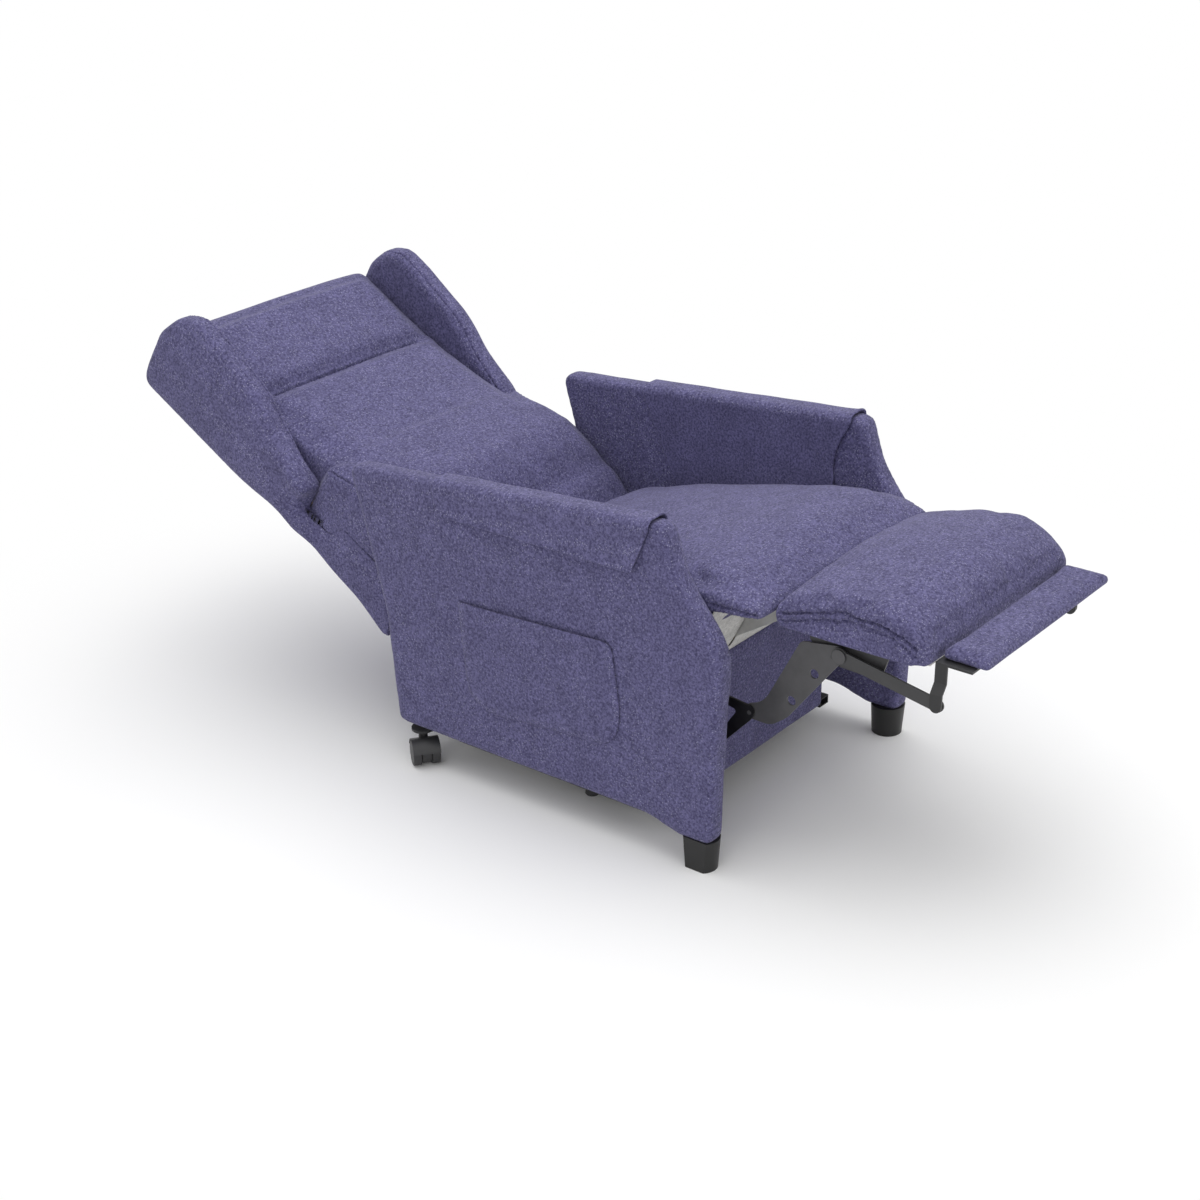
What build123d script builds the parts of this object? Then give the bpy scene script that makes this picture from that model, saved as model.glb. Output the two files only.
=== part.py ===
"""Lift recliner with its back down and its leg-rest out, as separate pieces in one frame.

Millimetres. X runs across the chair, +Y to its rear and +Z up. Sizes are drawn from the middle of the
front feet; the last lines move every piece so that the whole stands centred over the origin.
"""
import os
from math import atan2, cos, degrees, hypot, radians, sin

from build123d import *

# Fits
RUN = 0.05          # radial clearance of a pin in its bore
FREE = 0.4          # extra radius of an open pivot beyond its travel

# Pivots, as (Y, Z)
LIFT_A = (215.0, 80.0)       # lift arms on the base
LIFT_Q = (640.0, 95.0)       # chassis on the lift arms
LINK_B = (168.2, 91.9)       # lift links on the base
LINK_C = (440.0, 120.0)      # lift links at the chassis
LIFT_TAIL = (600.0, 60.0)    # lift motor on the base
LIFT_HEAD = (270.0, 120.0)   # lift rod at the lift arms
BACK_P = (710.0, 320.0)      # back on the chassis
BACK_TAIL = (360.0, 215.0)   # back motor on the chassis
BACK_HEAD = (720.0, 245.0)   # back rod at the back
LEG_H = (-70.0, 455.0)       # leg-rest on the chassis
STRUT_T = (-200.0, 441.0)    # strut on the leg-rest
STRUT_Q = (-39.0, 287.0)     # lower link on the strut
ANCHOR_G = (70.0, 250.0)     # anchor pin in the lower link's slot
FLAP_F = (-388.0, 463.0)     # flap on the leg-rest
FLAP_E = (-405.0, 415.0)     # flap link on the flap
FLAP_K = (-216.3, 448.6)     # strut's crank pin in the flap link's eye
BACK_SLOPE = 30.6            # degrees the back leans above level
SLOT_MID = (65.9, 255.7)     # middle of the lower link's slot
SLOT_LEAN = 111.5            # degrees the slot leans
SLOT_RUN = 14.8              # travel along the slot
SLOT_SIDE = 2.2              # travel across the slot
SLOT_FREE = 1.6              # play round the pin in the slot

# How far each open pivot wanders, as a radius
LINK_STRAY = 1.2
LIFT_STRAY = 3.3
BACK_STRAY = 3.6
FLAP_STRAY = 6.8

# Width: the seat sets out every layer, each given outward from the middle plane as (inner face, outer face)
SEAT_HALF = 289.0
COVER = 7.0         # thickness of an arm's cloth cover
ARM_T = 48.0
HINGE_ARM = (SEAT_HALF - 175, SEAT_HALF - 170)
HINGE_EAR = (SEAT_HALF - 168, SEAT_HALF - 164)
FLAP_EAR = (SEAT_HALF - 162, SEAT_HALF - 158)
BRACKET = (SEAT_HALF - 68, SEAT_HALF - 64)
LIFT_ARM = (SEAT_HALF - 65, SEAT_HALF - 59)
STRUT = (SEAT_HALF - 62, SEAT_HALF - 58)
LINKS = (SEAT_HALF - 56, SEAT_HALF - 52)
LIFT_LINK = (SEAT_HALF - 53, SEAT_HALF - 47)
ANCHOR = (SEAT_HALF - 50, SEAT_HALF - 45)
SIDE_PLATE = (SEAT_HALF - 43, SEAT_HALF - 37)
BACK_HINGE = (SEAT_HALF - 36, SEAT_HALF - 31)
BACK_SIDE = (SEAT_HALF - 31, SEAT_HALF - 9)
RAIL = (SEAT_HALF - 34, SEAT_HALF - 4)
WING = (SEAT_HALF - 21, SEAT_HALF + 46)
ARM = (SEAT_HALF + COVER, SEAT_HALF + COVER + ARM_T)

# Pins
PIN = 4.0           # radius of the linkage pins
STUD = 6.0          # radius of the lift studs
BOLT = 5.0          # radius of the motor pins
HEAD = 2.0          # height of a pin head

# Base
RAIL_Z = (40.0, 58.0)
RAIL_Y = (118.0, 604.0)
WALL = 2.0
FRONT_TUBE_Y = (300.0, 330.0)
REAR_TUBE_Y = (632.0, 660.0)
GLIDE = (SEAT_HALF - 54, 315.0)    # as (X, Y)
GLIDE_R = 14.0
OUTRIGGER_Y = (560.0, 690.0)
OUTRIGGER_Z = (66.0, 71.0)
TUBE_END = SEAT_HALF - 27    # half length of the rear cross tube
CASTOR = (SEAT_HALF + 35, 664.0)   # stem, as (X, Y)
WHEEL_OFF = (11.0, -14.0)    # wheel centre from the stem
WHEEL_R = 25.0
WHEEL_IN = 10.0              # inner face of a wheel from the hood's middle
WHEEL_OUT = 27.0
STEM_R = 5.0

# Chassis
PANEL_Y = (98.0, 116.0)
PANEL_Z = (61.0, 316.0)
PANEL_HALF = SEAT_HALF - 58  # the links swing past its ends
FOOT_Z = 62.0
FOOT_X = SEAT_HALF + 31
RAIL_T = 34.0                # thickness of the wooden cross rails
SEAT_REAR = 590.0
SEAT_FALL = 0.2685           # drop of the seat's underside for each length to the rear
RAIL_REAR = 580.0            # rear end of the wooden seat rails
WIRE = 4.0                   # spring wire
TUBE_R = 12.5
MOTOR_TUBE = (322.0, 200.0)
TORQUE_TUBE = (243.0, 142.0)
COVER_Y = (100.0, 590.0)

# Leg-rest and flap
PAD_HALF = SEAT_HALF - 39
BOARD_HALF = SEAT_HALF - 70
BOARD_Z = (472.0, 487.0)
GROOVE = SEAT_HALF - 46      # half width of the hollow under the pad
FLAP_HALF = SEAT_HALF - 70
FLAP_Y = (-485.0, -396.0)
FLAP_Z = (490.0, 514.0)

# Back, in lengths along it (s) and out of it (n) from its pivot
BACK_HALF = SEAT_HALF + 1
HEAD_HALF = SEAT_HALF - 23
BACK_TOP = 712.0
FRAME_N = (-52.0, -12.0)
COVER_N = 6.0                # thickness of the rear cover
SKIRT_N = -24.0              # front edge of the back's side, clear of the arm when upright
SKIRT_GAP = 0.4              # from the rear cover to the back's side
DRIVE_TUBE = (0.0, -97.0)


def outline(*corners):
    """Closed outline from corners given as (y, z, corner radius)."""
    points = [(y, z) for y, z, r in corners]
    radii = [r for y, z, r in corners]
    return make_face(FilletPolyline(*points, radius=radii, close=True))


def plate(face, layer):
    """A Y-Z outline given the thickness of a layer on the +X side."""
    return extrude(Plane.YZ.offset(layer[0]) * face, layer[1] - layer[0], dir=(1, 0, 0))


def rod_x(at, radius, x0, x1):
    """A round bar across the chair."""
    return extrude(Plane.YZ.offset(x0) * Pos(*at) * Circle(radius), x1 - x0, dir=(1, 0, 0))


def bar(a, b, wide):
    """A round-ended link outline between two pivots."""
    mid = ((a[0] + b[0]) / 2, (a[1] + b[1]) / 2)
    lean = degrees(atan2(b[1] - a[1], b[0] - a[0]))
    length = hypot(b[0] - a[0], b[1] - a[1])
    return Pos(*mid) * Rot(0, 0, lean) * SlotCenterToCenter(length, wide)


def disc(at, radius):
    """A round outline at a pivot."""
    return Pos(*at) * Circle(radius)


def box(x0, x1, y0, y1, z0, z1):
    """A block between six faces."""
    mid = ((x0 + x1) / 2, (y0 + y1) / 2, (z0 + z1) / 2)
    return Pos(*mid) * Box(x1 - x0, y1 - y0, z1 - z0)


def other(shape):
    """The same piece on the other side of the chair."""
    return mirror(shape, about=Plane.YZ)


def both(shape):
    """A pair of pieces, one each side, kept as one node."""
    return Compound(children=[shape, other(shape)])


def pillow(half, low, edge, crown, roll):
    """Cross section of a cushion: flat below, rolled corners, an arched top."""
    k = roll * (1 - cos(radians(45)))
    right = ThreePointArc((half, edge - roll), (half - k, edge - k), (half - roll, edge))
    top = ThreePointArc((half - roll, edge), (0, edge + crown), (roll - half, edge))
    left = ThreePointArc((roll - half, edge), (k - half, edge - k), (-half, edge - roll))
    base = Polyline((-half, edge - roll), (-half, low), (half, low), (half, edge - roll))
    return make_face(right + top + left + base)


def across(y):
    """Cross-section plane at a length along the chair: local x is +X, local y is +Z."""
    return Plane(origin=(0, y, 0), x_dir=(1, 0, 0), z_dir=(0, -1, 0))


def back_plane(s):
    """Cross-section plane of the back at a length along it: local x is +X, local y is out of it."""
    a = radians(BACK_SLOPE)
    at = (0, BACK_P[0] + s * cos(a), BACK_P[1] + s * sin(a))
    return Plane(origin=at, x_dir=(1, 0, 0), z_dir=(0, -cos(a), -sin(a)))


def back_side_plane(x):
    """Side plane of the back: local x runs along it, local y out of it."""
    a = radians(BACK_SLOPE)
    return Plane(origin=(x, *BACK_P), x_dir=(0, cos(a), sin(a)), z_dir=(1, 0, 0))


def back_plate(face, x0, x1):
    """An outline drawn along the back, given a thickness across the chair."""
    return extrude(back_side_plane(x0) * face, x1 - x0, dir=(1, 0, 0))


def tube_x(at, half):
    """A round cross tube with an open bore."""
    return rod_x(at, TUBE_R, -half, half) - rod_x(at, TUBE_R - WALL, -half, half)


# Base

def base_rail():
    """Square tube along the floor, its pivot bracket with two studs, and the castor's outrigger."""
    mid = (RAIL[0] + RAIL[1]) / 2
    rail = box(*RAIL, *RAIL_Y, *RAIL_Z)
    rail -= box(RAIL[0] + WALL, RAIL[1] - WALL, *RAIL_Y, RAIL_Z[0] + WALL, RAIL_Z[1] - WALL)
    ear = outline((146, RAIL_Z[1], 0), (246, RAIL_Z[1], 0), (232, 98, 14), (190, 112, 12), (154, 112, 16))
    rail += plate(ear, (RAIL[0], RAIL[0] + 7))
    rail += rod_x(LIFT_A, STUD, LIFT_ARM[0] - HEAD, RAIL[0])
    rail += rod_x(LINK_B, STUD, LIFT_LINK[0] - HEAD, RAIL[0])
    rail += box(*RAIL, *OUTRIGGER_Y, RAIL_Z[1], OUTRIGGER_Z[1])
    arm = Pos(CASTOR[0], CASTOR[1]) * Circle(22) + Pos((mid + CASTOR[0]) / 2 - 8, 663) * Rectangle(69, 44)
    rail += extrude(Pos(0, 0, OUTRIGGER_Z[0]) * arm, OUTRIGGER_Z[1] - OUTRIGGER_Z[0])
    hole = Pos(*CASTOR, OUTRIGGER_Z[0]) * Cylinder(STEM_R + RUN, 40)
    return rail - hole


def base_front_tube():
    """Square tube that ties the two rails together at the front."""
    tube = box(-RAIL[0], RAIL[0], *FRONT_TUBE_Y, *RAIL_Z)
    y0, y1 = FRONT_TUBE_Y
    return tube - box(-RAIL[0], RAIL[0], y0 + WALL, y1 - WALL, RAIL_Z[0] + WALL, RAIL_Z[1] - WALL)


def base_rear_tube():
    """Square tube under the outriggers with the fork and pin that hold the lift motor's tail."""
    tube = box(-TUBE_END, TUBE_END, *REAR_TUBE_Y, *RAIL_Z)
    y0, y1 = REAR_TUBE_Y
    tube -= box(-TUBE_END, TUBE_END, y0 + WALL, y1 - WALL, RAIL_Z[0] + WALL, RAIL_Z[1] - WALL)
    y, z = LIFT_TAIL
    lug = outline((y - 13, z - 6, 10), (y - 13, z + 13, 10), (y + 13, z + 13, 10), (y0, RAIL_Z[1] - 2, 0),
                  (y0, RAIL_Z[0], 0), (y0 - 6, RAIL_Z[0], 0))
    fork = plate(lug, (12, 17)) + plate(lug, (-17, -12))
    return tube + fork + rod_x(LIFT_TAIL, BOLT, -19, 19)


def base_glides():
    """Two floor glides under the front cross tube."""
    foot = Pos(*GLIDE, RAIL_Z[0] / 2) * Cone(GLIDE_R, GLIDE_R - 4, RAIL_Z[0])
    return both(chamfer(foot.edges().sort_by(Axis.Z)[0], 2))


def castor_hood():
    """Swivelling hood: a stem, a web for the axle and a curved guard over the wheels."""
    x, y = CASTOR
    lean = degrees(atan2(WHEEL_OFF[1], WHEEL_OFF[0])) + 90
    axle = (x + WHEEL_OFF[0], y + WHEEL_OFF[1], WHEEL_R)
    set_at = Pos(*axle) * Rot(0, 0, lean)
    web = Rot(0, 90, 0) * Cylinder(WHEEL_R - 3, 2 * WHEEL_IN - 2)
    guard = Rot(0, 90, 0) * (Cylinder(WHEEL_R + 4, 2 * WHEEL_OUT) - Cylinder(WHEEL_R + 1.5, 2 * WHEEL_OUT))
    guard &= Pos(0, 0, 22) * Box(80, 80, 28)
    bridge = Pos(0, 4, 16) * Box(2 * WHEEL_IN - 2, 30, 22)
    bridge &= Rot(0, 90, 0) * Cylinder(WHEEL_R + 4, 60)
    hood = web + guard + bridge
    hood -= Rot(0, 90, 0) * Cylinder(PIN + RUN, 90)
    hood = set_at * hood
    top = OUTRIGGER_Z[0] - 1
    hood += Pos(x, y, (top + 40) / 2) * Cylinder(9, top - 40)
    hood -= set_at * (Rot(0, 90, 0) * (Pos(0, 0, WHEEL_IN + 8.5) * Cylinder(WHEEL_R + 0.8, 19)))
    hood -= set_at * (Rot(0, 90, 0) * (Pos(0, 0, -WHEEL_IN - 8.5) * Cylinder(WHEEL_R + 0.8, 19)))
    return hood + Pos(x, y, (top + OUTRIGGER_Z[1]) / 2) * Cylinder(STEM_R, OUTRIGGER_Z[1] - top)


def castor_wheels():
    """Two wheels on one axle."""
    x, y = CASTOR
    lean = degrees(atan2(WHEEL_OFF[1], WHEEL_OFF[0])) + 90
    wide = WHEEL_OUT - WHEEL_IN
    pair = Rot(0, 90, 0) * Cylinder(PIN, 2 * WHEEL_OUT - 4)
    for side in (-1, 1):
        wheel = Cylinder(WHEEL_R, wide)
        wheel = fillet(wheel.edges(), 3)
        pair += Pos(side * (WHEEL_IN + wide / 2), 0, 0) * (Rot(0, 90, 0) * wheel)
    return Pos(x + WHEEL_OFF[0], y + WHEEL_OFF[1], WHEEL_R) * Rot(0, 0, lean) * pair


# Lift

def lift_arm():
    """Long steel arm that carries the chassis, with a lobe for the torque tube."""
    face = bar(LIFT_A, LIFT_Q, 32) + bar(LIFT_A, TORQUE_TUBE, 32)
    face -= disc(LIFT_A, STUD + RUN) + disc(LIFT_Q, STUD + RUN)
    return plate(face, LIFT_ARM)


def lift_torque_tube():
    """Cross tube between the lift arms with the fork and pin that the lift rod pushes."""
    tube = tube_x(TORQUE_TUBE, LIFT_ARM[0])
    lug = bar(TORQUE_TUBE, LIFT_HEAD, 22) - disc(TORQUE_TUBE, TUBE_R - WALL)
    fork = plate(lug, (12, 17)) + plate(lug, (-17, -12))
    return tube + fork + rod_x(LIFT_HEAD, BOLT, -19, 19)


def lift_links():
    """Front links that tip the chassis as it rises; their upper eyes are open."""
    face = bar(LINK_B, LINK_C, 17) + disc(LINK_B, 12) + disc(LINK_C, 14)
    face -= disc(LINK_B, STUD + RUN) + disc(LINK_C, STUD + LINK_STRAY + FREE)
    return both(plate(face, LIFT_LINK))


def actuator_plane(tail, head):
    """Plane along a motor: local x from its tail to its head, local z across the chair."""
    length = hypot(head[0] - tail[0], head[1] - tail[1])
    way = ((head[0] - tail[0]) / length, (head[1] - tail[1]) / length)
    return Plane(origin=(0, *tail), x_dir=(0, *way), z_dir=(1, 0, 0)), length


def motor(tail, head, reach, side):
    """Linear motor: tail eye, gearbox, motor can beside the outer tube."""
    plane, length = actuator_plane(tail, head)
    body = Cylinder(13, 20) + Pos(14, 0, 0) * Box(28, 26, 20)
    gear = Pos(52, side * 20, 0) * Box(56, 84, 48)
    body += fillet(gear.edges().filter_by(Axis.Z), 8)
    body += Pos(120, side * 38, 0) * Rot(0, 90, 0) * Cylinder(21, 90)
    body += Pos((60 + reach) / 2, 0, 0) * Rot(0, 90, 0) * Cylinder(15.5, reach - 60)
    body -= Pos((90 + reach) / 2, 0, 0) * Rot(0, 90, 0) * Cylinder(10 + RUN, reach - 90)
    body -= Cylinder(BOLT + RUN, 40)
    return plane * body


def motor_rod(tail, head, stray):
    """Sliding rod with an open eye."""
    plane, length = actuator_plane(tail, head)
    eye = BOLT + stray + FREE
    rod = Pos((100 + length - 8) / 2, 0, 0) * Rot(0, 90, 0) * Cylinder(10, length - 108)
    rod += Pos(length, 0, 0) * Cylinder(eye + 5, 18)
    return plane * (rod - Pos(length, 0, 0) * Cylinder(eye, 40))


# Chassis

def seat_under(y):
    """Height of the seat's underside."""
    return 430 - SEAT_FALL * (y - 40)


def side_plate():
    """Steel plate that carries the seat rail and the pivots of lift, link and back."""
    y, z = BACK_P
    face = outline((128, 210, 14), (128, 392, 10), (400, 318, 60), (560, 270, 30), (652, 262, 24),
                   (y - 24, z + 8, 18), (y + 2, z + 24, 18), (y + 22, z - 2, 18), (664, 215, 40), (660, 72, 20),
                   (620, 72, 20), (600, 165, 40), (468, 165, 20), (460, 102, 16), (422, 102, 16),
                   (412, 165, 20), (200, 165, 30))
    body = plate(face, SIDE_PLATE)
    body += rod_x(LIFT_Q, STUD, LIFT_ARM[0] - HEAD, SIDE_PLATE[0])
    body += rod_x(LINK_C, STUD, LIFT_LINK[0] - HEAD, SIDE_PLATE[0])
    return body + rod_x(BACK_P, STUD, SIDE_PLATE[1], BACK_HINGE[1] + HEAD)


def seat_side_rails():
    """Wooden rails between the side plates and the arms."""
    y0, y1 = PANEL_Y[1], RAIL_REAR
    face = outline((y0, 310, 0), (y0, seat_under(y0), 0), (y1, seat_under(y1), 0), (y1, 232, 0))
    return both(plate(face, (SIDE_PLATE[1], ARM[0])))


def seat_cross_rail(y0, low):
    """Wooden cross rail whose top leaves room for the springs."""
    y1 = y0 + RAIL_T
    drop = WIRE * hypot(1, SEAT_FALL)
    face = outline((y0, low, 0), (y0, seat_under(y0) - drop, 0), (y1, seat_under(y1) - drop, 0), (y1, low, 0))
    return plate(face, (-SIDE_PLATE[0], SIDE_PLATE[0]))


def seat_front_rail():
    """Front cross rail, behind the front panel."""
    return seat_cross_rail(PANEL_Y[1], 300)


def seat_rear_rail():
    """Rear cross rail."""
    return seat_cross_rail(RAIL_REAR - RAIL_T, 264)


def motor_tube():
    """Cross tube between the side plates with the fork and pin that hold the back motor's tail."""
    tube = tube_x(MOTOR_TUBE, SIDE_PLATE[0])
    lug = bar(MOTOR_TUBE, BACK_TAIL, 24) - disc(MOTOR_TUBE, TUBE_R - WALL)
    fork = plate(lug, (12, 17)) + plate(lug, (-17, -12))
    return tube + fork + rod_x(BACK_TAIL, BOLT, -19, 19)


def seat_springs():
    """Five flat zigzag springs from the front rail to the rear one, just under the cushion."""
    y0, y1 = PANEL_Y[1] + 6, RAIL_REAR - 4
    run = hypot(y1 - y0, seat_under(y1) - seat_under(y0))
    turns = 12
    step = run / turns
    half = 22
    strip = Sketch()
    for i in range(turns):
        at = (i + 0.5) * step
        strip += Pos(at, 0) * Rectangle(WIRE, 2 * half)
        if i < turns - 1:
            edge = (half - WIRE / 2) * (1 if i % 2 else -1)
            strip += Pos(at + step / 2, edge) * Rectangle(step + WIRE, WIRE)
    strip += Pos(step / 4, half - WIRE / 2) * Rectangle(step / 2 + WIRE, WIRE)
    last = (half - WIRE / 2) * (1 if turns % 2 else -1)
    strip += Pos(run - step / 4, -last) * Rectangle(step / 2 + WIRE, WIRE)
    lean = atan2(seat_under(y1) - seat_under(y0), y1 - y0)
    springs = []
    for x in (-180, -90, 0, 90, 180):
        along, up = (0, cos(lean), sin(lean)), (0, -sin(lean), cos(lean))
        plane = Plane(origin=(x, y0, seat_under(y0)), x_dir=along, z_dir=up)
        springs.append(extrude(plane * strip, -WIRE))
    return Compound(children=springs)


def seat_cushion():
    """Crowned seat that thins to a lip over the front."""
    stations = [
        (SEAT_REAR, 292, 372, 6, 16), (572, 0, 396, 10, 24), (400, 0, 446, 20, 26), (235, 0, 485, 24, 26),
        (67, 0, 523, 20, 24), (24, 457, 527, 16, 20), (10, 487, 528, 14, 14), (-40, 488, 523, 11, 12),
        (-74, 489, 512, 8, 9), (-86, 492, 504, 4, 5)]
    parts = []
    for y, low, edge, crown, roll in stations:
        under = low if low else seat_under(y)
        half = SEAT_HALF - (6 if y < -60 else 0)
        parts.append(across(y) * pillow(half, under, edge, crown, roll))
    return loft(parts, ruled=True)


def seat_lining():
    """Thin lining from the front panel up to the seat's lip, slit where the hinge arms pass."""
    face = outline((PANEL_Y[0], PANEL_Z[1], 0), (PANEL_Y[0] + 2, PANEL_Z[1], 0), (7, 487, 0), (5, 487, 0))
    sheet = plate(face, (4 - SEAT_HALF, SEAT_HALF - 4))
    for side in (-1, 1):
        mid = side * (HINGE_ARM[0] + HINGE_ARM[1]) / 2
        sheet -= box(mid - 5.5, mid + 5.5, -20, 90, 332, 478)
    return sheet


def arm_profile():
    """Side view of an arm: dipped front foot, swept front edge, sloping top."""
    return outline((708, 77, 14), (112, 77, 30), (34, 62, 30), (-33, 62, 16), (-36, 200, 200), (-43, 352, 60),
                   (-20, 440, 60), (48, 566, 50), (74, 646, 24), (798, 588, 18), (772, 500, 60), (724, 304, 200))


def arm():
    """Padded side panel."""
    body = plate(arm_profile(), ARM)
    return fillet(body.edges().filter_by(lambda e: abs(e.center().X - ARM[1]) < 0.01
                                         or abs(e.center().X - ARM[0]) < 0.01), 11)


def arm_cover(panel):
    """Loose cloth saddle over the top of an arm."""
    top0, top1 = (74, 646), (798, 588)
    slope = (top1[1] - top0[1]) / (top1[0] - top0[0])
    y0, y1 = COVER_Y

    def top(y):
        return top0[1] + slope * (y - top0[0]) + COVER

    face = outline((y0, 360, 0), (y0, top(y0), 0), (y1, top(y1), 0), (y1, 360, 0))
    body = plate(face, (ARM[0] - COVER, ARM[1] + COVER))
    long_edges = body.edges().filter_by(Axis.Y, tolerance=12).sort_by(Axis.Z)[-2:]
    body = fillet(long_edges, 11 + COVER)
    body -= panel
    mid = (ARM[0] + ARM[1]) / 2
    body -= plate(outline((y0, 350, 0), (y0, 545, 0), (y1, 541, 0), (y1, 350, 0)), (mid, ARM[1] + 20))
    body -= plate(outline((y0, 350, 0), (y0, 500, 0), (240, 465, 0), (y1, 385, 0), (y1, 350, 0)), (ARM[0] - 20, mid))
    return body


def side_pocket():
    """Flat pocket on the outside of the right arm, open along its top."""
    outer = outline((537, 383, 4), (182, 401, 26), (161, 257, 30), (180, 196, 40), (336, 184, 60), (474, 170, 40),
                    (520, 200, 40))
    inner = outline((545, 410, 0), (175, 430, 0), (171, 257, 26), (189, 206, 34), (336, 194, 60), (470, 181, 34),
                    (509, 208, 34), (527, 383, 0))
    panel = plate(outer, (ARM[1] + 4.5, ARM[1] + COVER))
    rim = plate(outer - inner, (ARM[1], ARM[1] + 4.5))
    return other(panel + rim)


def front_panel():
    """Upholstered panel below the seat, between the two sides of the linkage."""
    body = box(-PANEL_HALF, PANEL_HALF, *PANEL_Y, *PANEL_Z)
    edges = body.edges().filter_by(Axis.X).sort_by(Axis.Y)[:2]
    return fillet(edges, 4)


def front_feet():
    """Two tapered feet under the fronts of the arms."""
    foot = Pos(FOOT_X, 0, FOOT_Z / 2) * Cone(30, 34, FOOT_Z)
    foot = foot & box(FOOT_X - 40, ARM[1] - 1, -40, 40, 0, FOOT_Z)
    return both(foot)


def legrest_hinge_arms():
    """Brackets from the front rail to the leg-rest hinge, each with a stud."""
    y, z = LEG_H
    face = outline((PANEL_Y[1], 330, 0), (PANEL_Y[1], 392, 0), (44, 420, 30), (14, 469, 14), (y - 13, z + 14, 12),
                   (y - 13, z - 13, 12), (y + 10, z - 14, 20))
    body = plate(face, HINGE_ARM)
    body += box(HINGE_ARM[0] - 26, HINGE_ARM[0], PANEL_Y[1] - 4, PANEL_Y[1], 334, 388)
    return both(body + rod_x(LEG_H, PIN, HINGE_ARM[1], HINGE_EAR[1] + 1))


def link_anchors():
    """Brackets on the side plates whose pins run in the lower links' slots."""
    y, z = ANCHOR_G
    face = outline((162, z - 26, 8), (162, z + 26, 8), (118, z + 26, 20), (y - 10, z + 11, 10), (y - 10, z - 11, 10),
                   (118, z - 26, 20))
    body = plate(face, ANCHOR)
    body += box(ANCHOR[1], SIDE_PLATE[0], 134, 158, z - 22, z + 22)
    return both(body + rod_x(ANCHOR_G, PIN, LINKS[0] - 1, ANCHOR[0]))


# Leg-rest

def legrest_board():
    """Wooden board in the hollow under the pad."""
    return box(-BOARD_HALF, BOARD_HALF, -378, -104, *BOARD_Z)


def legrest_pad():
    """Crowned leg-rest pad with a hollow underside."""
    stations = [
        (-90, 480, 500, 7, 8), (-98, 474, 517, 15, 16), (-114, 472, 526, 23, 20), (-160, 472, 539, 23, 22),
        (-214, 472, 546, 18, 20), (-300, 472, 544, 14, 18), (-352, 473, 526, 16, 18), (-380, 476, 511, 10, 12),
        (-391, 484, 502, 4, 7)]
    parts = []
    for y, low, edge, crown, roll in stations:
        half = PAD_HALF - (5 if y in (-90, -391) else 0)
        parts.append(across(y) * pillow(half, low, edge, crown, roll))
    body = loft(parts, ruled=True)
    return body - box(-GROOVE, GROOVE, -378, -104, 460, BOARD_Z[1])


def legrest_hinges():
    """Straps under the board with an eye on the leg-rest's hinge and a pin for the flap's."""
    y, z = LEG_H
    fy, fz = FLAP_F
    top = BOARD_Z[0]
    face = outline((y + 14, z + 15, 12), (y + 14, z - 13, 12), (-150, 450, 20), (fy - 10, fz - 9, 7),
                   (fy - 10, fz + 8, 7), (-372, top, 0), (-108, top, 0), (-100, z + 15, 8))
    face -= disc(LEG_H, PIN + RUN)
    body = plate(face, HINGE_EAR)
    body += box(HINGE_EAR[0] - 26, HINGE_EAR[0], -372, -108, top - 4, top)
    return both(body + rod_x(FLAP_F, PIN, HINGE_EAR[1], FLAP_EAR[1] + 1))


def legrest_bracket():
    """Riveted gusset under the board with the strut's pin."""
    top = BOARD_Z[0]
    face = outline((-150, top, 0), (-150, 458, 8), (-172, 440, 14), (-188, 424, 12), (-290, 420, 14),
                   (-306, top, 0))
    body = plate(face, BRACKET)
    body += box(BRACKET[0] - 26, BRACKET[0], -306, -150, top - 4, top)
    for at in ((-224, 455), (-243, 433), (-278, 428)):
        body += rod_x(at, 5, BRACKET[1], BRACKET[1] + 1.4)
    return body + rod_x(STRUT_T, PIN, BRACKET[1], STRUT[1] + 1)


def flap_pad():
    """Thin padded board at the end of the leg-rest."""
    body = box(-FLAP_HALF, FLAP_HALF, *FLAP_Y, *FLAP_Z)
    return fillet(body.edges(), 9)


def flap_hinges():
    """Ears under the flap that turn on the leg-rest's straps."""
    y, z = FLAP_F
    low = FLAP_Z[0]
    face = outline((y + 10, z - 10, 9), (-405, z - 10, 6), (-446, low, 0), (-402, low, 0), (y + 10, z + 9, 9))
    body = plate(face - disc(FLAP_F, PIN + RUN), FLAP_EAR)
    return both(body + box(FLAP_EAR[1], FLAP_EAR[1] + 26, -446, -402, low - 4, low))


def flap_arms():
    """Joggled straps that reach down from the flap to the flap links."""
    low, high = (ANCHOR[0], ANCHOR[0] + 4), STRUT
    ey, ez = FLAP_E
    strap = Polyline((high[0], FLAP_Z[0]), (high[1], FLAP_Z[0]), (high[1], 454), (low[1], 437), (low[1], ez),
                     (low[0], ez), (low[0], 436), (high[0], 453), close=True)
    body = extrude(across(-394) * make_face(strap), 22, dir=(0, -1, 0))
    body += plate(disc(FLAP_E, 11), low)
    body += box(high[0] - 37, high[1], -462, -394, FLAP_Z[0] - 4, FLAP_Z[0])
    return both(body + rod_x(FLAP_E, PIN, LINKS[0] - 1, low[0]))


# Linkage

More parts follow.
